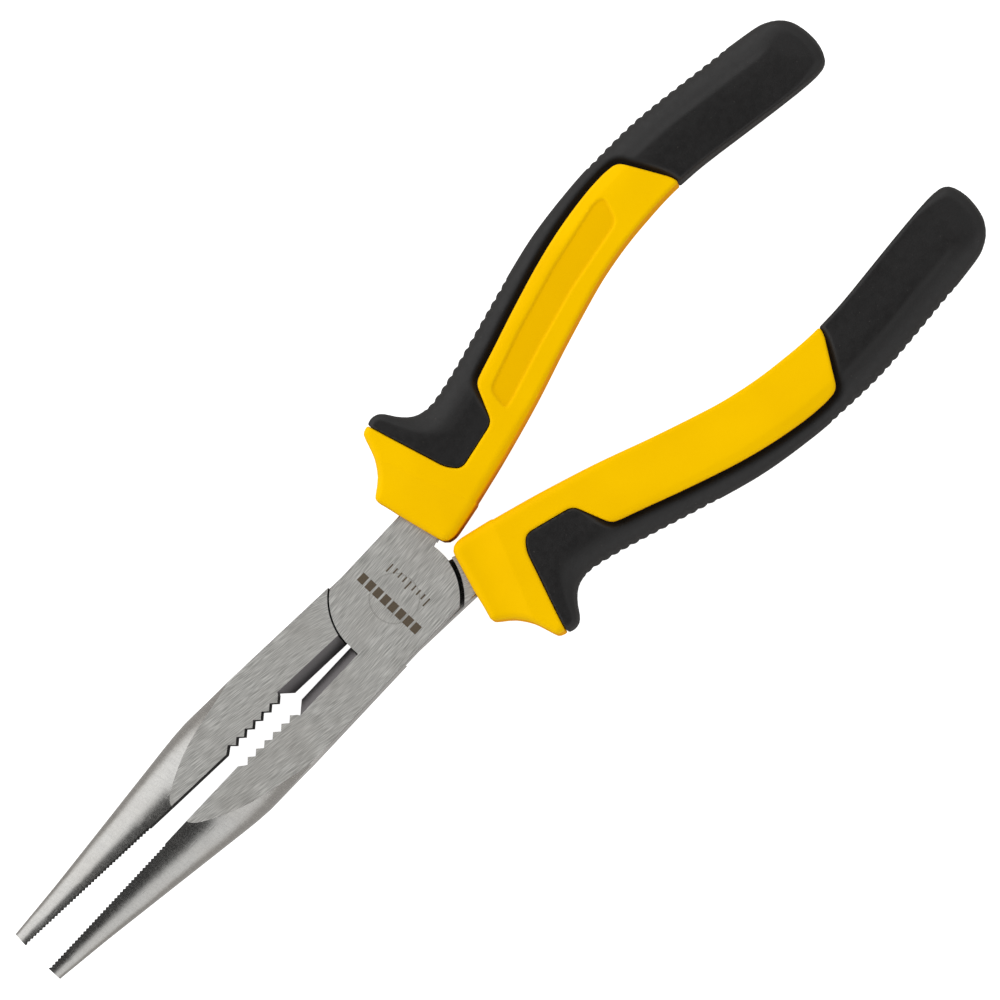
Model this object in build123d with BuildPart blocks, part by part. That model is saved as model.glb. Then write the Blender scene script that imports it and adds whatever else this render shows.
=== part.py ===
from build123d import *
import math
import os

# Long nose pliers with side cutters, 200 mm class. Millimetres.
# Frame: origin on the pivot axis, in the rear ground face of the joint. +X points to the nose tips,
# +Z out of the front joint face, +Y to the jaw of the front lever. The rest pose is slightly open.
# Every outline below is drawn in the closed pose, for the front lever: its jaw lies at +Y and its
# handle at -Y. The rear lever is the same forging turned over about the long axis.

# ---- driving dimensions ----
HEAD_T = 10.0            # thickness of the joint and the jaw roots
MID = HEAD_T / 2         # height of the lap plane
LAP_GAP = 0.05           # axial play between the two lap plates
REST_HALF_ANGLE = 1.85   # each lever turns this far out of the closed pose at rest
REAR_SPLAY = 1.8         # the rear handle is bent outwards by this much more

PLATE_R = 10.9           # radius of the lap plate's front and back arcs
HEAD_HALF_W = 8.85       # half the width of the joint and the jaws
JAW_SHOULDER_GAP = 0.3   # between a lap plate and the other lever's jaw shoulder
TANG_SHOULDER_GAP = 0.8  # between a lap plate and the other lever's tang shoulder
TANG_INNER_Y = -1.35     # inner side of the tang root where it leaves the lap plate
SIDE_CHAMFER = 0.2       # broken edges along both sides of the head

RIVET_R = 3.2            # shank
RIVET_HEAD_R = 4.3       # countersunk head, flush with the joint face
RIVET_HEAD_DEPTH = 1.5
RIVET_RUN = 0.05         # radial running clearance in the rear lever

TIP_X = 84.4             # nose tip
FACE_Y = 0.05            # gripping face at the tip, off the mating plane
FACE_RELIEF = 0.10       # extra gap at the back of the gripping face
CUT_X0, CUT_X1 = PLATE_R, 22.9    # side cutter, from the lap plate to its end wall
CUT_EDGE_Y = 0.03        # cutting edge, off the mating plane
CUT_BEVEL_W = 1.9        # width of each bevel, from the edge to the joint face
CUT_WALL_X = 24.9        # where the end wall meets the bevel's outer line

PIPE_X0, PIPE_PITCH, PIPE_TEETH = 26.1, 1.97, 6
PIPE_DEPTH = 0.9         # tooth depth
PIPE_CREST_0, PIPE_CREST_1 = 0.64, 0.24   # crest height at the first and last tooth
PIPE_END_X = 38.2        # the plain gripping face starts here

FINE_X0, FINE_PITCH, FINE_TEETH = 55.9, 0.69, 41
FINE_DEPTH = 0.25

HEAD_ROOM = 200.0        # block larger than the head, ahead of which the nose tapers

# The nose is half of a tapering oval: distance from the pivot, half width, half height
NOSE_SECTIONS = [
    (29.0, 9.60, 13.0),
    (32.0, 9.35, 10.2),
    (35.2, 9.10, 8.52),
    (41.5, 8.72, 6.63),
    (46.8, 8.00, 5.52),
    (50.7, 7.42, 5.00),
    (56.0, 6.60, 4.42),
    (62.0, 5.70, 3.80),
    (70.0, 4.50, 2.98),
    (77.0, 3.50, 2.28),
    (TIP_X + 1.0, 2.40, 1.50),
]

TANG_T = 5.0             # thickness of the tang inside the handle
ROOT_END_X = -17.0       # the tang root keeps the full head thickness as far as this
ROOT_INNER = [(-12.2, -1.7), (ROOT_END_X, -2.15)]
TANG_OUTER = [(-12, -8.2), (-22, -9.6), (-40, -15.2), (-60, -20.6), (-80, -21.6), (-100, -18.6)]
TANG_INNER = [(-100, -13.6), (-80, -16.4), (-60, -14.4), (-40, -9.0), (-22, -4.6), (-12, -2.6)]

GRIP_T = 16.0            # room for the handle's greatest thickness
GRIP_ROUND = 3.2         # radius of the handle's long edges
CORE_HALF_T = 5.0        # half the thickness of the hard core under the soft skin
SOFT_SKIN = 1.6          # thickness of the soft skin round the core's outline
CORE_FRONT = (-18, -0.9, -17.4)   # x, inner y and outer y of the skin where the core starts
CORE_END_X = -112.0      # the core stops inside the soft end

# Handle sections, closed pose, front lever: x, inner y, outer y, half thickness
GRIP_SECTIONS = [
    (-8, 0.0, -17.9, 7.2),
    (-16, -0.15, -17.8, 7.6),
    (-23, -1.38, -17.7, 7.6),
    (-30, -2.87, -18.1, 7.4),
    (-40, -5.35, -20.25, 7.2),
    (-50, -8.27, -22.65, 7.1),
    (-60, -10.9, -24.7, 7.1),
    (-70, -12.55, -25.7, 7.2),
    (-80, -12.9, -25.7, 7.2),
    (-90, -12.0, -24.77, 7.1),
    (-100, -10.28, -23.2, 6.9),
    (-110, -8.8, -21.5, 6.3),
    (-118, -8.1, -19.9, 4.8),
]
GUARD_HALF_T = 7.1       # half thickness of the flared guard
GUARD_BACK = [(-28, -17.75), (-25.0, -18.1), (-23.5, -19.0), (-22.0, -20.9)]
GUARD_TIP = [(-22.0, -20.9), (-21.2, -22.3), (-19.7, -23.3), (-18.3, -23.1), (-17.9, -22.75)]
COLLAR_TIP = [(-17.9, -22.75), (-16.9, -22.8), (-16.1, -22.2)]
COLLAR_FRONT = [(-16.1, -22.2), (-14.6, -18.2), (-12.8, -15.8), (-10.6, -14.3), (-9.75, -13.2)]
COLLAR_INNER = [(-12.35, -1.6), (-12.9, -0.6), (-14.2, 0.5)]
GUARD_ROOT = [(-12.0, -8.0), (-28.0, -8.0)]   # foot of the guard, buried in the handle
GRIP_END = [(-112.2, -6.5), (-114.3, -8.95), (-115.5, -11.1), (-115.9, -14.2), (-115.4, -17.2),
            (-113.6, -19.9), (-110.3, -22.4)]
CLEAR_IN, CLEAR_OUT = 5.0, -30.0   # y beyond the handle's inner and outer sides

# Edge of the hard sleeve where it shows, from the inner side round the guard pad
SLEEVE_REAR = [(-82.75, CLEAR_IN), (-82.75, -14.0), (-78.3, -22.0)]
SLEEVE_STRIPE = [(-76.6, -22.95), (-72, -22.95), (-67, -22.5), (-57, -20.7), (-47, -17.95), (-35.6, -14.6)]
PAD_OUTLINE = [(-34.2, -12.9), (-33.0, -9.9), (-31.6, -8.1), (-24.4, -6.65), (-22.5, -7.3), (-21.2, -9.8),
               (-19.0, -18.5), (-17.9, -22.75), (-17.7, CLEAR_OUT)]


def gripping_edge():
    """Inner edge of the jaw from the cutter to the tip, with both sets of teeth."""
    points = [(CUT_X0, CUT_EDGE_Y), (CUT_X1, CUT_EDGE_Y), (CUT_WALL_X, CUT_BEVEL_W)]
    for i in range(PIPE_TEETH):
        crest = PIPE_CREST_0 + (PIPE_CREST_1 - PIPE_CREST_0) * i / (PIPE_TEETH - 1)
        x = PIPE_X0 + i * PIPE_PITCH
        points += [(x - PIPE_PITCH / 2, crest + PIPE_DEPTH), (x, crest)]
    points += [(PIPE_X0 + (PIPE_TEETH - 0.5) * PIPE_PITCH, PIPE_CREST_1 + PIPE_DEPTH)]
    points += [(PIPE_END_X, FACE_Y + FACE_RELIEF)]
    for i in range(FINE_TEETH):
        x = FINE_X0 + i * FINE_PITCH
        face = FACE_Y + FACE_RELIEF * (TIP_X - x) / (TIP_X - PIPE_END_X)
        points += [(x, face), (x + FINE_PITCH / 2, face + FINE_DEPTH)]
    return points + [(FINE_X0 + FINE_TEETH * FINE_PITCH, FACE_Y), (TIP_X, FACE_Y)]


def on_plate(angle):
    """Point on the lap plate's arc, angle in degrees from +X."""
    return (PLATE_R * math.cos(math.radians(angle)), PLATE_R * math.sin(math.radians(angle)))


# angles where the lap plate's arcs meet the straight side and the tang's inner side
SIDE_ANGLE = math.degrees(math.asin(HEAD_HALF_W / PLATE_R))
INNER_ANGLE = 180 - math.degrees(math.asin(TANG_INNER_Y / PLATE_R))

# ---- oval envelope that tapers the nose ----
with BuildPart() as nose_envelope:
    for x, half_w, half_h in NOSE_SECTIONS:
        with BuildSketch(Plane(origin=(x, 0, MID), x_dir=(0, 1, 0), z_dir=(1, 0, 0))):
            Ellipse(half_w, half_h)
    loft()

with BuildPart() as head_envelope:
    with BuildSketch(Plane.XY):
        with Locations((NOSE_SECTIONS[0][0], 0)):
            Rectangle(HEAD_ROOM, HEAD_ROOM, align=(Align.MAX, Align.CENTER))
    extrude(amount=HEAD_T)
    add(nose_envelope.part)


def make_lever(splay, hole_clearance):
    """One forging in the closed pose: jaw at +Y, lap plate in the upper half, tang at -Y."""
    with BuildPart() as lever:
        with BuildSketch(Plane.XY):
            with BuildLine():
                jaw = Polyline(*gripping_edge(), (TIP_X, HEAD_HALF_W), on_plate(180 - SIDE_ANGLE))
                back = ThreePointArc(jaw @ 1, on_plate((180 - SIDE_ANGLE + INNER_ANGLE) / 2),
                                     on_plate(INNER_ANGLE))
                tang = Polyline(back @ 1, *ROOT_INNER, (ROOT_END_X, -HEAD_HALF_W), on_plate(-SIDE_ANGLE))
                ThreePointArc(tang @ 1, on_plate(-SIDE_ANGLE / 2), on_plate(0))
                Line(on_plate(0), jaw @ 0)
            make_face()
        extrude(amount=HEAD_T)
        # room for the other lever's lap plate
        with BuildSketch(Plane.XY):
            Circle(PLATE_R + JAW_SHOULDER_GAP)
            with BuildLine():
                arc = CenterArc((0, 0), PLATE_R + TANG_SHOULDER_GAP, 90, 180)
                Line(arc @ 1, arc @ 0)
            make_face()
        extrude(amount=MID + LAP_GAP / 2, mode=Mode.SUBTRACT)
        # the two bevels of the side cutter meet at mid thickness
        for z_face, z_edge in ((HEAD_T, MID), (0, MID)):
            with BuildSketch(Plane(origin=(CUT_X0, 0, 0), x_dir=(0, 1, 0), z_dir=(1, 0, 0))):
                Polygon((CUT_EDGE_Y, z_edge), (CUT_EDGE_Y + CUT_BEVEL_W, z_face),
                        (-CUT_BEVEL_W, z_face), (-CUT_BEVEL_W, z_edge), align=None)
            extrude(amount=CUT_WALL_X - CUT_X0, mode=Mode.SUBTRACT)
        add(head_envelope.part, mode=Mode.INTERSECT)
        long_edges = lever.edges().filter_by(Axis.X).group_by(Axis.Y)
        chamfer(long_edges[0] + long_edges[-1], SIDE_CHAMFER)
        # tang inside the handle
        with BuildSketch(Plane.XY.offset(MID - TANG_T / 2).rotated((0, 0, splay))):
            with BuildLine():
                outer = Spline(*TANG_OUTER)
                inner = Spline(*TANG_INNER)
                Line(outer @ 1, inner @ 0)
                Line(inner @ 1, outer @ 0)
            make_face()
        extrude(amount=TANG_T)
        # pivot hole with a countersink in the outer face
        with BuildSketch(Plane.XY):
            Circle(RIVET_R + hole_clearance)
        extrude(amount=HEAD_T, mode=Mode.SUBTRACT)
        with BuildSketch(Plane.XZ):
            with BuildLine():
                Polyline((0, HEAD_T - RIVET_HEAD_DEPTH),
                         (RIVET_R + hole_clearance, HEAD_T - RIVET_HEAD_DEPTH),
                         (RIVET_HEAD_R + hole_clearance, HEAD_T), (0, HEAD_T), close=True)
            make_face()
        revolve(axis=Axis.Z, mode=Mode.SUBTRACT)
    return lever.part


with BuildPart() as pivot_rivet:
    with BuildSketch(Plane.XZ):
        with BuildLine():
            Polyline((0, 0), (RIVET_HEAD_R, 0), (RIVET_R, RIVET_HEAD_DEPTH),
                     (RIVET_R, HEAD_T - RIVET_HEAD_DEPTH), (RIVET_HEAD_R, HEAD_T), (0, HEAD_T), close=True)
        make_face()
    revolve(axis=Axis.Z)


# ---- handle, closed pose, front lever ----
with BuildPart() as grip:
    for x, y_in, y_out, half_t in GRIP_SECTIONS:
        with BuildSketch(Plane(origin=(x, (y_in + y_out) / 2, MID), x_dir=(0, 1, 0), z_dir=(-1, 0, 0))):
            RectangleRounded(y_in - y_out, 2 * half_t, GRIP_ROUND)
    loft()
    # trim the collar's front and round the end
    with BuildSketch(Plane.XY.offset(MID - GRIP_T / 2)):
        with BuildLine():
            Polyline(COLLAR_FRONT[-1], COLLAR_INNER[0])
            Spline(*COLLAR_INNER)
            Polyline(COLLAR_INNER[-1], (COLLAR_INNER[-1][0], CLEAR_IN), (GRIP_END[0][0], CLEAR_IN),
                     GRIP_END[0])
            Spline(*GRIP_END)
            Polyline(GRIP_END[-1], (GRIP_END[-1][0], CLEAR_OUT), (COLLAR_FRONT[0][0], CLEAR_OUT),
                     COLLAR_FRONT[0])
            Spline(*COLLAR_FRONT)
        make_face()
    extrude(amount=GRIP_T, mode=Mode.INTERSECT)
    # flared guard with its hard collar tip
    with BuildSketch(Plane.XY.offset(MID - GUARD_HALF_T)):
        with BuildLine():
            for points in (GUARD_BACK, GUARD_TIP, COLLAR_TIP, COLLAR_FRONT):
                Spline(*points)
            Polyline(COLLAR_FRONT[-1], *GUARD_ROOT, GUARD_BACK[0])
        make_face()
    extrude(amount=2 * GUARD_HALF_T)

with BuildPart() as hard_core:
    for x, y_in, y_out in [CORE_FRONT] + [(max(x, CORE_END_X), y0, y1) for x, y0, y1, t in GRIP_SECTIONS[3:]]:
        with BuildSketch(Plane(origin=(x, (y_in + y_out) / 2, MID), x_dir=(0, 1, 0), z_dir=(-1, 0, 0))):
            RectangleRounded(y_in - y_out - 2 * SOFT_SKIN, 2 * CORE_HALF_T, GRIP_ROUND)
    loft()

with BuildPart() as visible_hard:
    with BuildSketch(Plane.XY.offset(MID - GRIP_T / 2)):
        with BuildLine():
            Polyline(*SLEEVE_REAR)
            Spline(SLEEVE_REAR[-1], *SLEEVE_STRIPE)
            Polyline(SLEEVE_STRIPE[-1], *PAD_OUTLINE, (0, CLEAR_OUT), (0, CLEAR_IN), SLEEVE_REAR[0])
        make_face()
    extrude(amount=GRIP_T)

with BuildPart() as hard_body:
    add(grip.part)
    add(visible_hard.part, mode=Mode.INTERSECT)
    add(hard_core.part)

with BuildPart() as soft_body:
    add(grip.part)
    add(hard_body.part, mode=Mode.SUBTRACT)


def make_sleeve(lever, splay):
    """Hard moulding of one handle, with its cavity filled by the lever."""
    with BuildPart() as sleeve:
        add(hard_body.part.rotate(Axis.Z, splay))
        add(lever, mode=Mode.SUBTRACT)
    return sleeve.part


# ---- the rest pose ----
TURN_OVER = Axis((0, 0, MID), (1, 0, 0))


def place_front(shape):
    return shape.rotate(Axis.Z, REST_HALF_ANGLE)


def place_rear(shape):
    return shape.rotate(TURN_OVER, 180).rotate(Axis.Z, -REST_HALF_ANGLE)


front_forging = make_lever(splay=0, hole_clearance=0)
rear_forging = make_lever(splay=REAR_SPLAY, hole_clearance=RIVET_RUN)

pieces = {
    "front_lever_forging": place_front(front_forging),
    "rear_lever_forging": place_rear(rear_forging),
    "pivot_rivet": pivot_rivet.part,
    "front_handle_sleeve": place_front(make_sleeve(front_forging, 0)),
    "rear_handle_sleeve": place_rear(make_sleeve(rear_forging, REAR_SPLAY)),
    "front_handle_overmould": place_front(soft_body.part),
    "rear_handle_overmould": place_rear(soft_body.part.rotate(Axis.Z, REAR_SPLAY)),
}

os.makedirs("parts", exist_ok=True)
for name, piece in pieces.items():
    piece.label = name
    export_step(piece, f"parts/{name}.step")
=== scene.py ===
import math

import bpy
import numpy as np
from mathutils import Matrix, Vector


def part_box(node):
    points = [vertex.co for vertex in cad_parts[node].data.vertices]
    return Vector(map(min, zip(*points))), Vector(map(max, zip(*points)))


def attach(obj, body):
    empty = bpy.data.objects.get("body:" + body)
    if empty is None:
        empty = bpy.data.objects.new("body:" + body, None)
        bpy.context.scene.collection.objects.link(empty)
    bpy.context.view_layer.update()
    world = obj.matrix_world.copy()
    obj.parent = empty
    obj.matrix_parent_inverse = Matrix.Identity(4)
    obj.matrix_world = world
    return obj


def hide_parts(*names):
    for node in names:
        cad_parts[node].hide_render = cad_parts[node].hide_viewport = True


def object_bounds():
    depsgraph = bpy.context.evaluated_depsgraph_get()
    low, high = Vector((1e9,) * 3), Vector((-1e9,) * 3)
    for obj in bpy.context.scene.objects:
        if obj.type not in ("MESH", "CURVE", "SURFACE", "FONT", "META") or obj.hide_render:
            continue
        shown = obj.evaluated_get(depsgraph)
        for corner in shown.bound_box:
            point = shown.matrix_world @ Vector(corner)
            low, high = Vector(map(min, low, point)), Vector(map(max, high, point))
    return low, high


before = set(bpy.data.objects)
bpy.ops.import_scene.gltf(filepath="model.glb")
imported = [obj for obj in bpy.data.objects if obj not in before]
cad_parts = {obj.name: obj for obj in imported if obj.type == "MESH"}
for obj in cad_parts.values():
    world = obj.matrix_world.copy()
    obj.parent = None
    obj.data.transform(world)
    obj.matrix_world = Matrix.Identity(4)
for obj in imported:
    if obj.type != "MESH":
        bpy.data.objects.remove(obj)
cad_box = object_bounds()

# Long nose pliers. Blender works in metres. The handles are worked out in millimetres in the closed
# pose, for the front lever: +X to the tips, handle at -Y, lap plane at z = MID, as the CAD draws them.
MM = 0.001
rivet_lo, rivet_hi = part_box("pivot_rivet")
HEAD_T = (rivet_hi.z - rivet_lo.z) / MM            # thickness of the joint
RIVET_HEAD_R = (rivet_hi.x - rivet_lo.x) / MM / 2
MID = HEAD_T / 2
REST_HALF_ANGLE = 1.85   # degrees each lever is turned out of the closed pose at rest
REAR_SPLAY = 1.8         # degrees more that the rear handle is bent outwards

# ------------------------------------------------------------------ flat outlines


def curve(points, step=0.8):
    """Catmull-Rom curve through the points, sampled about every step millimetres."""
    p = [np.array(q, float) for q in points]
    p = [2 * p[0] - p[1]] + p + [2 * p[-1] - p[-2]]
    out = []
    for a, b, c, d in zip(p, p[1:], p[2:], p[3:]):
        n = max(2, int(np.linalg.norm(c - b) / step))
        for t in np.arange(n) / n:
            out.append(0.5 * (2 * b + (c - a) * t + (2 * a - 5 * b + 4 * c - d) * t**2
                              + (3 * b - a - 3 * c + d) * t**3))
    return [tuple(q) for q in out] + [tuple(p[-2])]


def soften(points, cut, n=6):
    """Closed polygon with each corner rounded off, starting cut millimetres before it."""
    p = np.array(points, float)
    most = 0.45          # of a side's length, so that two corners never meet
    out = []
    for a, b, c in zip(np.roll(p, 1, 0), p, np.roll(p, -1, 0)):
        u, v = a - b, c - b
        la, lc = np.linalg.norm(u), np.linalg.norm(v)
        s, e = b + u / la * min(cut, la * most), b + v / lc * min(cut, lc * most)
        for t in np.arange(n + 1) / n:
            out.append((1 - t) ** 2 * s + 2 * t * (1 - t) * b + t**2 * e)
    return out


def turned(points, degrees):
    """Flat points turned about the pivot."""
    a = math.radians(degrees)
    return [(x * math.cos(a) - y * math.sin(a), x * math.sin(a) + y * math.cos(a)) for x, y in points]


# Whole handle, seen from the front
INNER = [(-13.2, -0.2), (-14.3, 0.08), (-16, -0.1), (-20, -0.8), (-24, -1.6), (-30, -2.87), (-40, -5.35),
         (-50, -8.27), (-60, -10.9), (-65, -11.9), (-70, -12.55), (-75, -12.85), (-80, -12.95),
         (-85, -12.65), (-90, -12.0), (-100, -10.28), (-108, -9.0), (-112, -8.6), (-114, -8.95),
         (-115.1, -10.2), (-115.77, -12.5), (-115.77, -15.2), (-115.2, -17.6), (-113.9, -19.4),
         (-112, -20.7)]
OUTER = [(-110, -21.4), (-105, -22.4), (-100, -23.2), (-90, -24.77), (-84, -25.45), (-77, -25.7),
         (-70, -25.62), (-60, -24.7), (-50, -22.65), (-40, -20.25), (-35, -19.05), (-30, -18.05),
         (-27, -17.75), (-25, -18.1), (-23.5, -19.05), (-22.2, -20.6), (-21.3, -22.1), (-20.3, -23.05),
         (-19, -23.3), (-17.9, -22.95)]
COLLAR = [(-17.1, -22.75), (-16.3, -22.3), (-15.6, -20.6), (-14.6, -18.2), (-12.8, -15.85), (-11, -14.5),
          (-10, -13.75), (-9.75, -13.1)]
COLLAR_INNER = [(-12.35, -1.6), (-12.6, -0.8)]
OUTLINE = curve(INNER + OUTER + COLLAR) + COLLAR_INNER

# Where the hard yellow moulding shows: its rear edge, its edge along the black stripe, the guard pad,
# and then points beyond the collar and the inner side
STRIPE = [(-77.2, -22.95), (-72, -22.95), (-67, -22.5), (-62, -21.75), (-57, -20.7), (-52, -19.4),
          (-47, -18.0), (-42, -16.5), (-37.5, -15.2)]
HARD_REAR = [(-82.85, 6), (-82.85, -13.9), (-78.2, -22.6)]
HARD_PAD = [(-35.4, -14.5), (-32.4, -8.15), (-28, -7.3), (-23.4, -6.45), (-21.7, -8.6), (-19.0, -18.5),
            (-17.85, -22.9), (-17.6, -30), (2, -30), (2, 6)]
HARD_REGION = soften(HARD_REAR + curve(STRIPE)[2:] + HARD_PAD, 1.25)

# Recessed panel in the front face of the front handle, and so in the rear face of the rear one,
# which is the same moulding turned over
PANEL = soften([(-36.2, -12.1), (-35.6, -8.0), (-37.3, -8.25), (-47, -11.0), (-58, -13.7), (-70.9, -15.8),
                (-72.6, -20.1), (-70.8, -20.75), (-58.0, -18.35), (-47.4, -15.6)], 1.3)

# Forged tang and its full-thickness root, which the sleeve is hollowed out for
TANG = (curve([(-10, -8.0), (-22, -9.6), (-40, -15.2), (-60, -20.6), (-80, -21.6), (-100, -18.6)])
        + curve([(-100, -13.6), (-80, -16.4), (-60, -14.4), (-40, -9.0), (-22, -4.6), (-10, -2.4)]))
ROOT = [(-17.02, -2.14), (-12.2, -1.68), (-5, -1.0), (-5, -8.87), (-17.02, -8.87)]

GRID_LO = np.array([-118.0, -27.0])
GRID_STEP = 0.1
GRID_N = (1120, 300)


def flat_field(polygon):
    """Signed distance to a closed outline, negative inside, on the fine flat grid."""
    x = GRID_LO[0] + GRID_STEP * np.arange(GRID_N[0])[:, None]
    y = GRID_LO[1] + GRID_STEP * np.arange(GRID_N[1])[None, :]
    p = np.array(polygon, float)
    best = np.full(GRID_N, np.inf)
    inside = np.zeros(GRID_N, bool)
    for (ax, ay), (bx, by) in zip(p, np.roll(p, -1, 0)):
        dx, dy = bx - ax, by - ay
        length_2 = dx * dx + dy * dy
        if length_2 < 1e-12:
            continue
        t = np.clip(((x - ax) * dx + (y - ay) * dy) / length_2, 0, 1)
        best = np.minimum(best, (x - ax - t * dx) ** 2 + (y - ay - t * dy) ** 2)
        if ay != by:
            inside ^= ((ay > y) != (by > y)) & (x < (y - ay) * dx / dy + ax)
    return np.where(inside, -1, 1) * np.sqrt(best)


def look_up(field, x, y):
    """Bilinear value of a flat field."""
    u = np.clip((x - GRID_LO[0]) / GRID_STEP, 0, GRID_N[0] - 1.001)
    v = np.clip((y - GRID_LO[1]) / GRID_STEP, 0, GRID_N[1] - 1.001)
    i, j = u.astype(int), v.astype(int)
    u, v = u - i, v - j
    return ((1 - u) * (1 - v) * field[i, j] + u * (1 - v) * field[i + 1, j]
            + (1 - u) * v * field[i, j + 1] + u * v * field[i + 1, j + 1])


outline_field = flat_field(OUTLINE)
hard_field = flat_field(HARD_REGION)
panel_field = flat_field(PANEL)
tang_field = flat_field(TANG)

# ------------------------------------------------------------------ solid fields, negative inside

# Half thickness of the handle, and its centre line, against x
STATION_X = [-118, -115, -110, -100, -90, -80, -70, -50, -40, -30, -23, -16, -8]
HALF_T = [5.2, 5.9, 6.4, 6.9, 7.1, 7.2, 7.2, 7.1, 7.2, 7.4, 7.55, 7.55, 7.3]
CENTRE_X = [-118, -110, -100, -90, -80, -70, -60, -50, -40, -30, -20, -8]
CENTRE_Y = [-14.2, -15.0, -16.7, -18.4, -19.3, -19.1, -17.8, -15.5, -12.8, -10.4, -9.2, -8.6]

CREASE_AT, CREASE_AHEAD = (-20.3, -2.6), (0.9475, 0.32)   # point on the collar's rear edge, way forward
CREASE_STEP = 0.16                    # the collar stands out by this much on the inner side
TROUGH_LENGTH, TROUGH_DEPTH = 8.6, 0.85    # hollow across the collar
INNER_ROUND, INNER_ROUND_MORE = 0.7, 0.9   # inner edge at the rear, and what the front adds
OUTER_ROUND = 1.2                     # outer edge at the collar
SLOPE_WIDE, SLOPE_TALL = 5.4, 2.3     # what the grip's slope to the outer edge adds to that
END_WIDE, END_TALL = 2.0, 1.9         # rounding at the rear end
FACE_FALL, FACE_FALL_WIDTH = 0.3, 7.0      # the broad faces fall away towards their edges

RIB_PITCH, RIB_DEPTH = 1.77, 0.28
RIB_ZONES = [(-51.2, -26.7), (-104.2, -74.4)]

CORE_HALF_T, CORE_INSET, CORE_ROUND = 4.4, 1.6, 1.5
CORE_X = (-112.0, -18.0)
ROOT_ROOM = 0.02                      # clearance over the root
TANG_HALF_ROOM = 2.52                 # half of the 5 mm tang, and clearance

PANEL_DEPTH, PANEL_WALL = 0.34, 0.22
HARD_ROUND, SOFT_ROUND = 0.45, 0.28   # the two mouldings' edges where they meet
SOFT_GAP, STRIPE_OVERLAP = 0.1, 0.4   # space between them, closed up under the stripe's yellow edge
SOFT_DROP = 0.04                      # the black lies this far below the yellow
STRIPE_DROP, GROOVE_DEPTH = 0.3, 1.1  # the stripe lies lower, with a groove along the yellow
PAD_DIP = 0.25                        # the guard pad is dished


def smooth(a, b, x):
    """0 at a, 1 at b, easing in and out."""
    t = np.clip((x - a) / (b - a), 0, 1)
    return t * t * (3 - 2 * t)


def round_and(a, b, r):
    """Both inside, with the shared edge rounded to radius r."""
    a, b = a + r, b + r
    return np.hypot(np.maximum(a, 0), np.maximum(b, 0)) + np.minimum(np.maximum(a, b), 0) - r


def outward(x, y):
    """Distance from the centre line towards the outer edge."""
    return np.interp(x, CENTRE_X, CENTRE_Y) - y


def body_field(x, y, z, drop=0.0, inset=0.0):
    """The whole handle: flat broad faces, a tight inner edge and a wide slope to the outer edge.

    drop lowers the broad faces and inset pulls in the outline."""
    d = look_up(outline_field, x, y) + inset
    outer = smooth(-1.5, 3.0, outward(x, y))
    ahead = (x - CREASE_AT[0]) * CREASE_AHEAD[0] + (y - CREASE_AT[1]) * CREASE_AHEAD[1]
    trough = TROUGH_DEPTH * np.sin(np.pi * np.clip(ahead / TROUGH_LENGTH, 0, 1))
    d = d - CREASE_STEP * smooth(-0.2, 0.2, ahead) * (1 - outer)
    half = np.interp(x, STATION_X, HALF_T) - drop - trough - FACE_FALL * smooth(-FACE_FALL_WIDTH, 0.0, d)
    inner_round = INNER_ROUND + INNER_ROUND_MORE * smooth(-52, -26, x)
    slope = smooth(-19.5, -27.5, x)
    wide = inner_round + outer * (OUTER_ROUND + SLOPE_WIDE * slope - inner_round)
    tall = inner_round + outer * (OUTER_ROUND + SLOPE_TALL * slope - inner_round)
    end = smooth(-106, -114.5, x)
    wide, tall = wide + end * (END_WIDE - wide), tall + end * (END_TALL - tall)
    return round_and(d * tall / wide, np.abs(z - MID) - half, tall)


def rib_field(x, y):
    """Depth of the finger ribs, for the outer edge."""
    wave = 1 - np.abs(np.sin(np.pi * x / RIB_PITCH))
    zone = sum(smooth(a - 0.5, a + 0.3, x) * smooth(b + 0.5, b - 0.3, x) for a, b in RIB_ZONES)
    rim = smooth(-1.6, -0.2, look_up(outline_field, x, y)) * smooth(0, 2.0, outward(x, y))
    return RIB_DEPTH * wave * zone * rim


def core_field(x, y, z):
    """Hard core under the soft skin."""
    ends = np.maximum(x - CORE_X[1], CORE_X[0] - x)
    sides = np.maximum(look_up(outline_field, x, y) + CORE_INSET, ends)
    return round_and(sides, np.abs(z - MID) - CORE_HALF_T, CORE_ROUND)


def socket_field(x, y, z, root_field):
    """Room for the lever's root and tang."""
    w = np.abs(z - MID)
    return np.minimum(np.maximum(look_up(root_field, x, y), w - HEAD_T / 2 - ROOT_ROOM),
                      np.maximum(look_up(tang_field, x, y), w - TANG_HALF_ROOM))


def hard_shape(root_field):
    """The yellow moulding: what shows of it, and the core, hollowed out for the lever."""
    def field(x, y, z):
        panel = PANEL_DEPTH * smooth(PANEL_WALL, -PANEL_WALL, look_up(panel_field, x, y)) * (z > MID)
        seen = round_and(body_field(x, y, z, drop=panel), look_up(hard_field, x, y), HARD_ROUND)
        return np.maximum(np.minimum(seen, core_field(x, y, z)), -socket_field(x, y, z, root_field))
    return field


def soft_shape(x, y, z):
    """The black moulding: guard pad, ribbed stripe and end grip, round the core."""
    g = look_up(hard_field, x, y)
    pad = smooth(-36.0, -32.5, x)
    stripe = (1 - pad) * (1 - smooth(-80.5, -84.5, x))
    groove = stripe * (STRIPE_DROP + GROOVE_DEPTH * smooth(1.25, 0.1, g))
    dip = PAD_DIP * pad * smooth(-3.0, -7.0, look_up(outline_field, x, y))
    body = body_field(x, y, z, groove + dip + SOFT_DROP, rib_field(x, y))
    seen = round_and(body, SOFT_GAP - STRIPE_OVERLAP * stripe - g, SOFT_ROUND)
    return np.maximum(seen, -core_field(x, y, z) + 0.01)


# ------------------------------------------------------------------ meshes

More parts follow.
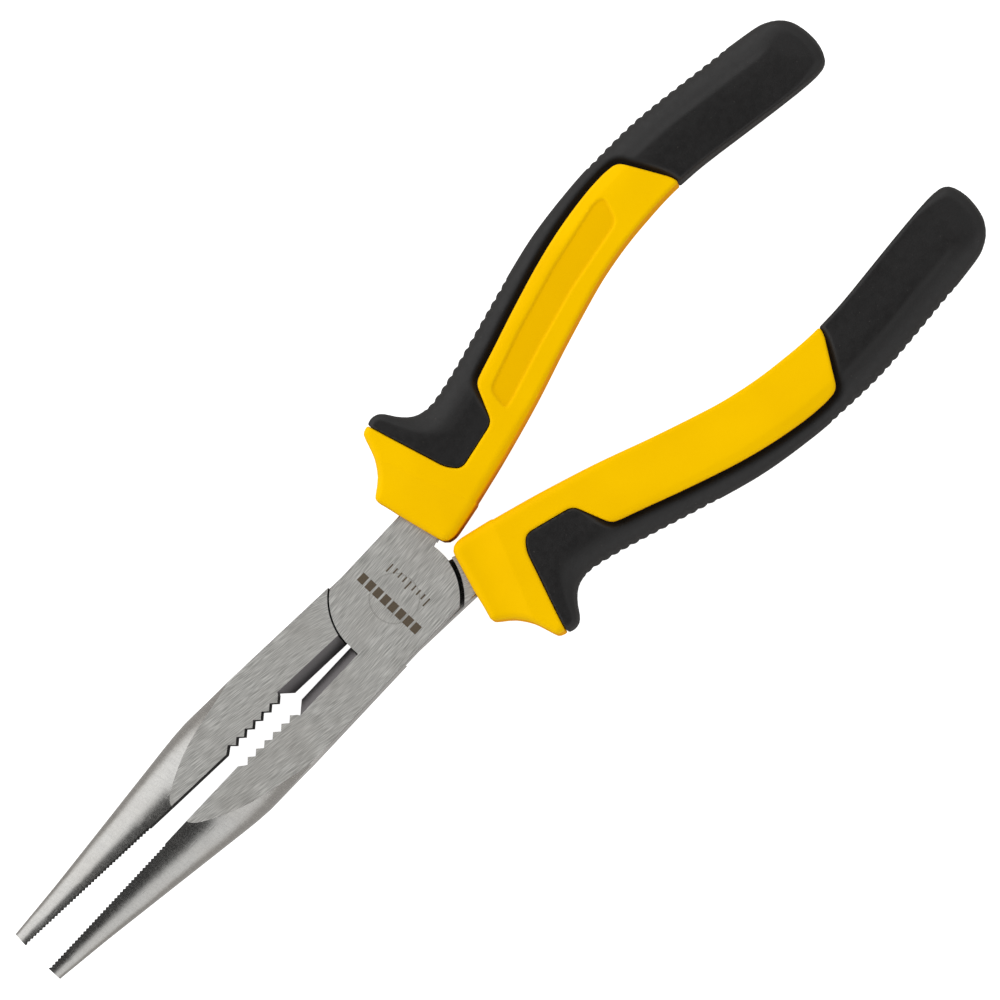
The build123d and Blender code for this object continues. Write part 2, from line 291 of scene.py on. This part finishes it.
NET_STEP = 0.29
NET_LO, NET_HI = (-117.0, -26.5, MID - 8.5), (-8.5, 1.2, MID + 8.5)
PROBE = 0.04             # half the distance between the two samples of a slope
SLIDES = 3
SHARP_ANGLE = 42         # degrees


def crossings(f, inside, axis):
    """Which grid edges along the axis cross the surface, and how far along each."""
    a, b = [slice(None)] * 3, [slice(None)] * 3
    a[axis], b[axis] = slice(None, -1), slice(1, None)
    fa, fb = f[tuple(a)], f[tuple(b)]
    first_in = inside[tuple(a)]
    crossed = first_in != inside[tuple(b)]
    return crossed, first_in, np.where(crossed, fa / np.where(crossed, fa - fb, 1), 0)


def slide(field, points, step):
    """Points moved onto the surface along the field's slope."""
    x, y, z = points.T
    e = PROBE
    slope = np.stack([field(x + e, y, z) - field(x - e, y, z), field(x, y + e, z) - field(x, y - e, z),
                      field(x, y, z + e) - field(x, y, z - e)], 1) / (2 * e)
    move = -field(x, y, z)[:, None] * slope / np.maximum((slope**2).sum(1, keepdims=True), 0.25)
    size = np.linalg.norm(move, axis=1, keepdims=True)
    return points + move * np.minimum(1, 0.4 * step / np.maximum(size, 1e-9))


def net(field, lo, hi, step):
    """Surface net of a field: one vertex per crossed cell, slid onto the surface, and quads between."""
    axes = [np.arange(a, b + step, step) for a, b in zip(lo, hi)]
    f = field(*np.meshgrid(*axes, indexing="ij"))
    inside = f < 0
    cells = tuple(n - 1 for n in f.shape)
    total = np.zeros(cells + (3,), np.float32)
    count = np.zeros(cells, np.int16)
    edges = []
    for axis in range(3):
        crossed, first_in, t = crossings(f, inside, axis)
        edges.append((crossed, first_in))
        o1, o2 = [k for k in range(3) if k != axis]
        for s1 in (0, 1):
            for s2 in (0, 1):
                cut = [slice(None)] * 3
                cut[o1] = slice(s1, f.shape[o1] - 1 + s1)
                cut[o2] = slice(s2, f.shape[o2] - 1 + s2)
                c = crossed[tuple(cut)]
                count += c
                total[..., axis] += np.where(c, t[tuple(cut)], 0)
                total[..., o1] += c * s1
                total[..., o2] += c * s2
    live = count > 0
    index = np.full(cells, -1, np.int64)
    index[live] = np.arange(live.sum())
    points = np.array([x[0] for x in axes]) + step * (np.argwhere(live) + total[live] / count[live][:, None])
    faces = []
    for axis, (crossed, first_in) in enumerate(edges):
        o1, o2 = [(1, 2), (2, 0), (0, 1)][axis]
        at = np.argwhere(crossed)
        ok = (at[:, o1] > 0) & (at[:, o2] > 0) & (at[:, o1] < cells[o1]) & (at[:, o2] < cells[o2])
        at = at[ok]
        corners = []
        for s1, s2 in ((0, 0), (1, 0), (1, 1), (0, 1)):
            q = at.copy()
            q[:, o1] += s1 - 1
            q[:, o2] += s2 - 1
            corners.append(index[q[:, 0], q[:, 1], q[:, 2]])
        quad = np.stack(corners, 1)
        faces.append(np.where(first_in[crossed][ok][:, None], quad, quad[:, ::-1]))
    for _ in range(SLIDES):
        points = slide(field, points, step)
    return points, np.concatenate(faces)


def solid_object(name, points, faces, matrix):
    """Object from points in millimetres, placed by the matrix, and quads."""
    mesh = bpy.data.meshes.new(name)
    placed = points @ np.array(matrix.to_3x3()).T + np.array(matrix.translation)
    mesh.vertices.add(len(placed))
    mesh.vertices.foreach_set("co", (placed * MM).astype(np.float32).ravel())
    mesh.loops.add(faces.size)
    mesh.loops.foreach_set("vertex_index", faces.astype(np.int32).ravel())
    mesh.polygons.add(len(faces))
    mesh.polygons.foreach_set("loop_start", np.arange(0, faces.size, 4, dtype=np.int32))
    mesh.polygons.foreach_set("use_smooth", np.ones(len(faces), bool))
    mesh.update(calc_edges=True)
    mesh.validate()
    mesh.set_sharp_from_angle(angle=math.radians(SHARP_ANGLE))
    obj = bpy.data.objects.new(name, mesh)
    bpy.context.scene.collection.objects.link(obj)
    return obj


# ------------------------------------------------------------------ materials

FULL_ROUGH = (1, 1, 1, 1)


def srgb(r, g, b):
    """Linear colour from 0-255 picture values."""
    return tuple((c / 255 / 12.92 if c <= 10 else ((c / 255 + 0.055) / 1.055) ** 2.4)
                 for c in (r, g, b)) + (1.0,)


class Graph:
    """Short hand for building a node tree."""

    def __init__(self, tree):
        self.tree = tree

    def add(self, kind):
        return self.tree.nodes.new(kind)

    def put(self, socket, value):
        """Link a node's output to the socket, or set the socket's own value."""
        if isinstance(value, bpy.types.NodeSocket):
            self.tree.links.new(value, socket)
        else:
            socket.default_value = value

    def math(self, op, a, b=0.0):
        n = self.add("ShaderNodeMath")
        n.operation = op
        self.put(n.inputs[0], a)
        self.put(n.inputs[1], b)
        return n.outputs[0]

    def times(self, a, b, *more):
        product = self.math("MULTIPLY", a, b)
        return self.times(product, *more) if more else product

    def plus(self, a, b):
        return self.math("ADD", a, b)

    def minus(self, a, b):
        return self.math("SUBTRACT", a, b)

    def most(self, a, b):
        return self.math("MAXIMUM", a, b)

    def size(self, a):
        return self.math("ABSOLUTE", a)

    def length(self, a, b):
        return self.math("SQRT", self.plus(self.times(a, a), self.times(b, b)))

    def ramp(self, value, a, b, lo=0.0, hi=1.0):
        """lo where the value is a, hi where it is b, easing in and out."""
        n = self.add("ShaderNodeMapRange")
        n.interpolation_type = "SMOOTHSTEP"
        for socket, v in zip(n.inputs, (value, a, b, lo, hi)):
            self.put(socket, v)
        return n.outputs[0]

    def mix(self, factor, a, b):
        """Colour a where the factor is 0, b where it is 1."""
        n = self.add("ShaderNodeMix")
        n.data_type = "RGBA"
        factor_in, a_in, b_in, colour_out = n.inputs[0], n.inputs[6], n.inputs[7], n.outputs[2]
        self.put(factor_in, factor)
        self.put(a_in, a)
        self.put(b_in, b)
        return colour_out

    def split(self, vector):
        n = self.add("ShaderNodeSeparateXYZ")
        self.put(n.inputs[0], vector)
        return n.outputs


class Finish(Graph):
    """A new material with one Principled shader."""

    def __init__(self, name):
        self.mat = bpy.data.materials.new(name)
        self.mat.use_nodes = True
        super().__init__(self.mat.node_tree)
        self.tree.nodes.clear()
        out = self.add("ShaderNodeOutputMaterial")
        self.shader = self.add("ShaderNodeBsdfPrincipled")
        self.put(out.inputs[0], self.shader.outputs[0])

    def set(self, **inputs):
        for key, value in inputs.items():
            self.put(self.shader.inputs[key.replace("_", " ")], value)

    def coords(self, scale=(1, 1, 1), turn=0.0):
        """Object coordinates in millimetres, turned about Z and scaled."""
        m = self.add("ShaderNodeMapping")
        m.vector_type = "TEXTURE"
        m.inputs["Rotation"].default_value[2] = math.radians(turn)
        m.inputs["Scale"].default_value = [MM / s for s in scale]
        self.put(m.inputs["Vector"], self.add("ShaderNodeTexCoord").outputs["Object"])
        return m.outputs[0]

    def noise(self, vector, scale, detail=3.0, rough=0.55):
        n = self.add("ShaderNodeTexNoise")
        self.put(n.inputs["Vector"], vector)
        n.inputs["Scale"].default_value = scale
        n.inputs["Detail"].default_value = detail
        n.inputs["Roughness"].default_value = rough
        return n.outputs["Fac"]

    def bump(self, height, distance, strength):
        n = self.add("ShaderNodeBump")
        n.inputs["Strength"].default_value = strength
        n.inputs["Distance"].default_value = distance
        self.put(n.inputs["Height"], height)
        return n.outputs[0]

    def normal(self):
        return self.add("ShaderNodeNewGeometry").outputs["Normal"]

    def attribute(self, name):
        n = self.add("ShaderNodeAttribute")
        n.attribute_name = name
        return n.outputs["Fac"]

    def edge(self, radius, lo, hi):
        """1 near sharp edges, from the angle between the rounded and the true normal."""
        b = self.add("ShaderNodeBevel")
        b.samples = 4
        b.inputs["Radius"].default_value = radius
        d = self.add("ShaderNodeVectorMath")
        d.operation = "DOT_PRODUCT"
        self.put(d.inputs[0], b.outputs[0])
        self.put(d.inputs[1], self.normal())
        return self.ramp(d.outputs["Value"], hi, lo)

    def crevice(self, distance):
        """1 deep in gaps, 0 in the open."""
        n = self.add("ShaderNodeAmbientOcclusion")
        n.samples = 8
        n.inputs["Distance"].default_value = distance
        return self.ramp(n.outputs["AO"], 0.55, 0.2)

    def side(self):
        """1 on surfaces that stand upright, 0 on those facing up or down."""
        return self.ramp(self.size(self.split(self.normal())[2]), 0.5, 0.1)


def plastic_yellow():
    """Moulded yellow plastic: soft clouds, fine grain, a darker panel, upright sides painted a darker orange
    as shade, and worn edges.
    """
    m = Finish("hard_plastic_yellow")
    p = m.coords()
    grain = m.noise(p, 5.0, 2.0, 0.6)
    speck = m.noise(p, 1.4, 4.0, 0.7)
    base = m.mix(m.ramp(m.noise(p, 0.06, 2.0), 0.3, 0.7), srgb(228, 178, 0), srgb(233, 184, 0))
    base = m.mix(m.times(m.ramp(speck, 0.52, 0.8), 0.2), base, srgb(220, 164, 0))
    base = m.mix(m.times(m.attribute("panel"), 0.55), base,
                 m.mix(grain, srgb(212, 158, 0), srgb(226, 172, 0)))
    wear = m.times(m.edge(0.0005, 0.93, 0.995), m.ramp(m.noise(p, 0.8, 3.0), 0.4, 0.65))
    base = m.mix(m.times(wear, 0.35), base, srgb(240, 196, 40))
    side = m.side()
    # painted shade: surfaces that stand upright are coloured a darker orange
    base = m.mix(m.times(side, 0.6), base, srgb(226, 140, 0))
    rough = m.mix(side, m.ramp(m.noise(p, 0.5, 4.0), 0.25, 0.75, 0.36, 0.5), FULL_ROUGH)
    m.set(Base_Color=base, Roughness=rough, IOR=1.35)
    m.set(Specular_Tint=(1.0, 0.75, 0.1, 1.0), Specular_IOR_Level=0.15)
    m.set(Normal=m.bump(grain, 0.00002, 0.5))
    return m.mat


def rubber_black():
    """Soft black moulding: matte grain, a little dust, and painted shade darkening the groove along the
    yellow edge.
    """
    m = Finish("soft_rubber_black")
    p = m.coords()
    grain = m.noise(p, 4.5, 3.0, 0.65)
    fine = m.noise(p, 12.0, 2.0, 0.6)
    base = m.mix(m.ramp(m.noise(p, 0.08, 3.0), 0.3, 0.7), srgb(17, 16, 16), srgb(21, 20, 20))
    base = m.mix(m.times(m.ramp(grain, 0.5, 0.85), 0.5), base, srgb(33, 31, 30))
    base = m.mix(m.times(m.ramp(m.noise(p, 2.3, 1.0), 0.74, 0.8), 0.25), base, srgb(90, 86, 82))
    groove_shade = m.attribute("groove_shade")
    # painted shade: the groove along the yellow edge is coloured near-black
    base = m.mix(m.times(groove_shade, 0.9), base, srgb(6, 6, 6))
    rough = m.mix(m.most(groove_shade, m.times(m.side(), 0.7)),
                  m.ramp(m.noise(p, 0.9, 4.0), 0.25, 0.75, 0.4, 0.52), FULL_ROUGH)
    m.set(Base_Color=base, Roughness=rough, IOR=1.5, Specular_IOR_Level=0.36)
    m.set(Normal=m.bump(m.plus(m.times(grain, 0.7), m.times(fine, 0.3)), 0.00005, 0.6))
    return m.mat


# Places along the head, millimetres, that the steel's finish changes at
PLATE_FADE = (22.0, 6.0)              # from the jaw's grinding direction to the joint's
CUTTER_FROM, CUTTER_TO = (11.0, 11.3), (25.3, 24.9)
CUTTER_REACH = (4.4, 3.4)             # |y|, outer ends of the cutting bevels
RIM_SHADE_FADE = (27.0, 24.0)               # behind this, the head's broken edges are painted darker as shade
FACES_FROM, FACES_REACH = (23.0, 25.0), (4.2, 3.6)   # teeth and gripping faces: x and |y|


def steel(name, jaw_turn, plate_turn, mark=False, ring=0.0):
    """Ground forged steel: fine grain on the flats, satin cross grain on the nose, cutting bevels painted
    dark in place of their dark reflection, a painted highlight along sharp edges, painted shade on the rear
    broken edges and in gaps, and near-black teeth.

    The turns are the grinding directions of the jaw and the joint face, in degrees. ring is the
    radius of the faint circle round the rivet."""
    m = Finish(name)
    p = m.coords()
    x, y, z = m.split(p)
    nz = m.split(m.normal())[2]
    flat = m.ramp(m.size(nz), 0.9985, 0.9997)
    not_flat = m.minus(1.0, flat)

    along_jaw = m.noise(m.coords((0.34, 8.2, 8.2), jaw_turn), 1.0, 1.2, 0.6)
    along_plate = m.noise(m.coords((0.34, 8.0, 8.0), plate_turn), 1.0, 1.2, 0.6)
    grain = m.mix(m.ramp(x, *PLATE_FADE), along_jaw, along_plate)
    scratch = m.ramp(m.noise(m.coords((0.03, 2.6, 2.6), jaw_turn + 14), 1.0, 1.0, 0.5), 0.66, 0.74)
    cross = m.noise(m.coords((3.0, 0.4, 0.4), jaw_turn + 20), 1.0, 4.0, 0.65)
    cross = m.plus(m.plus(m.times(cross, 0.3), m.times(m.noise(p, 3.2, 3.0, 0.7), 0.45)), 0.125)
    bevel = m.times(m.ramp(x, *CUTTER_FROM), m.ramp(x, *CUTTER_TO), not_flat,
                    m.ramp(m.size(y), *CUTTER_REACH))
    lines = m.mix(bevel, m.mix(flat, cross, grain), (0.5, 0.5, 0.5, 1))

    nose = m.mix(m.ramp(lines, 0.35, 0.65), srgb(164, 163, 161), srgb(186, 185, 182))
    ground = m.mix(m.ramp(lines, 0.3, 0.7), srgb(174, 173, 169), srgb(225, 224, 220))
    base = m.mix(flat, nose, ground)
    base = m.mix(m.times(m.ramp(m.noise(p, 0.12, 3.0), 0.35, 0.7), 0.2), base, srgb(176, 171, 164))
    base = m.mix(m.times(scratch, flat, 0.35), base, srgb(206, 204, 200))
    # painted shade: the broken edges behind the cutter are coloured darker
    base = m.mix(m.times(m.ramp(x, *RIM_SHADE_FADE), not_flat, 0.6), base, srgb(110, 108, 106))
    if ring:
        round_rivet = m.ramp(m.length(x, y), ring - 0.3, ring - 0.12)
        base = m.mix(m.times(round_rivet, 0.3), base, srgb(120, 114, 106))
    # painted highlight: a lighter line along sharp edges, as though they catch the light
    base = m.mix(m.times(m.edge(0.00018, 0.9, 0.99), 0.25), base, srgb(206, 206, 202))
    # painted reflection: the cutting bevels are coloured dark grey and made nearly non-metallic, standing in
    # for the dark reflection of the opposite jaw in the narrow gap
    base = m.mix(m.times(bevel, 0.97), base,
                 m.mix(m.noise(p, 3.0, 3.0), srgb(98, 95, 96), srgb(112, 109, 110)))

    gripping = m.times(m.ramp(m.size(nz), 0.35, 0.2), m.ramp(x, *FACES_FROM),
                       m.ramp(m.size(y), *FACES_REACH))
    # painted shade: deep gaps are coloured near-black from the occlusion mask; the teeth and gripping faces
    # are coloured near-black too
    gap_shade_and_dark_teeth = m.times(m.most(m.crevice(0.0022), m.times(gripping, 0.95)), m.minus(1.0, bevel))
    base = m.mix(gap_shade_and_dark_teeth, base, srgb(26, 23, 21))
    metal = m.minus(1.0, m.times(bevel, 0.95))
    if mark:
        etched = etching(m, x, y, z)
        base = m.mix(etched, base, m.mix(m.noise(p, 4.0, 3.0), srgb(70, 60, 48), srgb(102, 90, 74)))
        metal = m.minus(metal, m.times(etched, 0.6))
    m.set(Base_Color=base, Metallic=m.times(metal, m.minus(1.0, gap_shade_and_dark_teeth)))
    rough = m.mix(flat, m.ramp(lines, 0.3, 0.7, 0.2, 0.3), m.ramp(lines, 0.2, 0.8, 0.5, 0.62))
    m.set(Roughness=m.mix(m.most(bevel, gap_shade_and_dark_teeth), rough, FULL_ROUGH))
    m.set(Normal=m.bump(m.plus(lines, m.times(scratch, -0.5)), 0.000012, 0.7))
    return m.mat


# Laser mark: u runs towards the tips and v across, millimetres from the pivot
MARK_BLUR = 0.04
BLOCK_COUNT, BLOCK_PITCH, BLOCK_WIDTH = 8, 1.72, 1.3
BLOCK_V, BLOCK_U = -6.7, (0.35, 2.05)
TICK_COUNT, TICK_PITCH, TICK_WIDTH = 9, 1.05, 0.28
TICK_V, TICK_U, LONG_TICK_END, LONG_TICK_EVERY = -4.2, (-4.0, -2.9), -2.3, 4


def etching(m, x, y, z):
    """A row of plain square blocks and a row of ticks on the front joint face, as a generic mark."""
    turn = math.radians(REST_HALF_ANGLE)
    u = m.plus(m.times(x, math.cos(turn)), m.times(y, math.sin(turn)))
    v = m.minus(m.times(y, math.cos(turn)), m.times(x, math.sin(turn)))

    def between(value, a, b):
        return m.times(m.ramp(value, a - MARK_BLUR, a + MARK_BLUR),
                       m.ramp(value, b + MARK_BLUR, b - MARK_BLUR))

    shapes = [(*BLOCK_U, BLOCK_V + BLOCK_PITCH * k, BLOCK_WIDTH) for k in range(BLOCK_COUNT)]
    for k in range(TICK_COUNT):
        end = TICK_U[1] if k % LONG_TICK_EVERY else LONG_TICK_END
        shapes.append((TICK_U[0], end, TICK_V + TICK_PITCH * k, TICK_WIDTH))
    total = 0.0
    for u0, u1, v0, width in shapes:
        total = m.most(total, m.times(between(u, u0, u1), between(v, v0, v0 + width)))
    return m.times(total, m.ramp(z, HEAD_T - 0.1, HEAD_T - 0.05))


# ------------------------------------------------------------------ handles

over = (Matrix.Translation((0, 0, MID)) @ Matrix.Rotation(math.pi, 4, "X")
        @ Matrix.Translation((0, 0, -MID)))
place = {
    "front": Matrix.Rotation(math.radians(REST_HALF_ANGLE), 4, "Z"),
    "rear": (Matrix.Rotation(math.radians(-REST_HALF_ANGLE), 4, "Z") @ over
             @ Matrix.Rotation(math.radians(REAR_SPLAY), 4, "Z")),
}


def panel_shade(x, y, z):
    """1 in the recessed panel."""
    return smooth(0.15, -0.15, look_up(panel_field, x, y)) * (z > MID)


def groove_shade_mask(x, y, z):
    """1 in the stripe's groove along the yellow edge, where the black is painted darker as shade."""
    return smooth(2.0, 0.6, look_up(hard_field, x, y)) * smooth(-33.5, -37.0, x) * smooth(-83.5, -79.0, x)


yellow = plastic_yellow()
black = rubber_black()
for side, splay in (("front", 0.0), ("rear", REAR_SPLAY)):
    root = flat_field(turned(ROOT, -splay))
    for part, shape, finish, slot, tint, shade in (
            ("sleeve", hard_shape(root), yellow, "hard_plastic", "panel", panel_shade),
            ("overmould", soft_shape, black, "soft_rubber", "groove_shade", groove_shade_mask)):
        points, faces = net(shape, NET_LO, NET_HI, NET_STEP)
        grip = solid_object(f"{side}_{part}_moulding", points, faces, place[side])
        grip.data.materials.append(finish)
        attribute = grip.data.attributes.new(tint, "FLOAT", "POINT")
        attribute.data.foreach_set("value", shade(*points.T).astype(np.float32))
        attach(grip, f"{side}_half")
        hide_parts(f"{side}_handle_{part}")

for node, finish in (
        ("front_lever_forging", steel("ground_steel_front", -8, 4, mark=True)),
        ("rear_lever_forging", steel("ground_steel_rear", -8, -20)),
        ("pivot_rivet", steel("rivet_steel", 20, 8, mark=True, ring=RIVET_HEAD_R))):
    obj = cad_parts[node]
    obj.data.materials.clear()
    obj.data.materials.append(finish)

# ------------------------------------------------------------------ floor, light, camera

FLOOR_Z = cad_box[0].z
FLOOR_HALF = 2.0
floor_mesh = bpy.data.meshes.new("floor")
corners = [(-FLOOR_HALF, -FLOOR_HALF), (FLOOR_HALF, -FLOOR_HALF), (FLOOR_HALF, FLOOR_HALF),
           (-FLOOR_HALF, FLOOR_HALF)]
floor_mesh.from_pydata([(x, y, FLOOR_Z) for x, y in corners], [], [(0, 1, 2, 3)])
floor = bpy.data.objects.new("floor", floor_mesh)
bpy.context.scene.collection.objects.link(floor)
paper = Finish("floor_paper")
paper_colour = paper.mix(paper.noise(paper.coords(), 0.02), (0.40, 0.40, 0.40, 1), (0.42, 0.42, 0.42, 1))
paper.set(Base_Color=paper_colour, Roughness=0.9, Emission_Color=(1, 1, 1, 1), Emission_Strength=0.98)
floor_mesh.materials.append(paper.mat)
floor.visible_glossy = floor.visible_diffuse = False

# The sky is a bright tent with a dark oval opening overhead, a little off towards +Y. It is dimmer
# towards -X and +Y, and dimmer and warmer below the horizon.
SKY_CENTRE, SKY_SIZE = (0.1, 0.06), (0.5, 0.58)
SKY_DARK, SKY_BRIGHT, SKY_BELOW = 0.05, 1.3, 0.55
BELOW_TINT = (1, 0.965, 0.93, 1)
world = bpy.data.worlds.new("studio")
world.use_nodes = True
sky = Graph(world.node_tree)
sx, sy, sz = sky.split(sky.add("ShaderNodeTexCoord").outputs["Generated"])
off = sky.length(sky.math("DIVIDE", sky.minus(sx, SKY_CENTRE[0]), SKY_SIZE[0]),
                 sky.math("DIVIDE", sky.minus(sy, SKY_CENTRE[1]), SKY_SIZE[1]))
level = sky.times(sky.ramp(off, 0.75, 1.25, SKY_DARK, SKY_BRIGHT),
                  sky.ramp(sx, -1.0, -0.2, 0.55, 1.0), sky.ramp(sy, -0.5, 0.5, 1.18, 0.88))
below = sky.ramp(sz, 0.2, -0.35)
level = sky.plus(sky.times(level, sky.minus(1.0, below)), sky.times(below, SKY_BELOW))
backdrop = sky.tree.nodes["Background"]
sky.put(backdrop.inputs["Color"], sky.mix(below, (1, 1, 1, 1), BELOW_TINT))
sky.put(backdrop.inputs["Strength"], level)
bpy.context.scene.world = world

TARGET = Vector((-0.0240, 0.0006, MID * MM))
SOFTBOX_DISTANCE, SOFTBOX_SIZE = 1.0, (0.8, 0.35)


def softbox(name, direction, power):
    """Area light that only adds diffuse light: the reflections come from the sky."""
    lamp = bpy.data.lights.new(name, "AREA")
    lamp.shape = "RECTANGLE"
    lamp.size, lamp.size_y = SOFTBOX_SIZE
    lamp.energy = power
    o = bpy.data.objects.new(name, lamp)
    back = Vector(direction).normalized()
    o.location = TARGET + back * SOFTBOX_DISTANCE
    o.rotation_mode = "QUATERNION"
    o.rotation_quaternion = (-back).to_track_quat("-Z", "Y")
    bpy.context.scene.collection.objects.link(o)
    o.visible_glossy = False


softbox("key_left", (0.1, -1.0, 0.75), 3.6)
softbox("fill_right", (-0.1, 1.0, 0.75), 1.6)

PICTURE_WIDTH = 0.16667                  # metres across the picture at the pliers
PICTURE_RIGHT = Vector((-math.sqrt(0.5), math.sqrt(0.5), 0))
LENS, SENSOR = 650.0, 36.0
SLANT = math.radians(2.75)               # the camera leans this much towards +Y
cam_data = bpy.data.cameras.new("camera")
cam_data.lens, cam_data.sensor_width = LENS, SENSOR
cam_data.clip_start, cam_data.clip_end = 0.1, 20
camera = bpy.data.objects.new("camera", cam_data)
back = Vector((0, math.sin(SLANT), math.cos(SLANT)))
right = (PICTURE_RIGHT - back * PICTURE_RIGHT.dot(back)).normalized()
camera.location = TARGET + back * (PICTURE_WIDTH * LENS / SENSOR)
camera.rotation_mode = "QUATERNION"
camera.rotation_quaternion = Matrix((right, back.cross(right), back)).transposed().to_quaternion()
bpy.context.scene.collection.objects.link(camera)
bpy.context.scene.camera = camera
bpy.context.scene.view_settings.view_transform = "Standard"
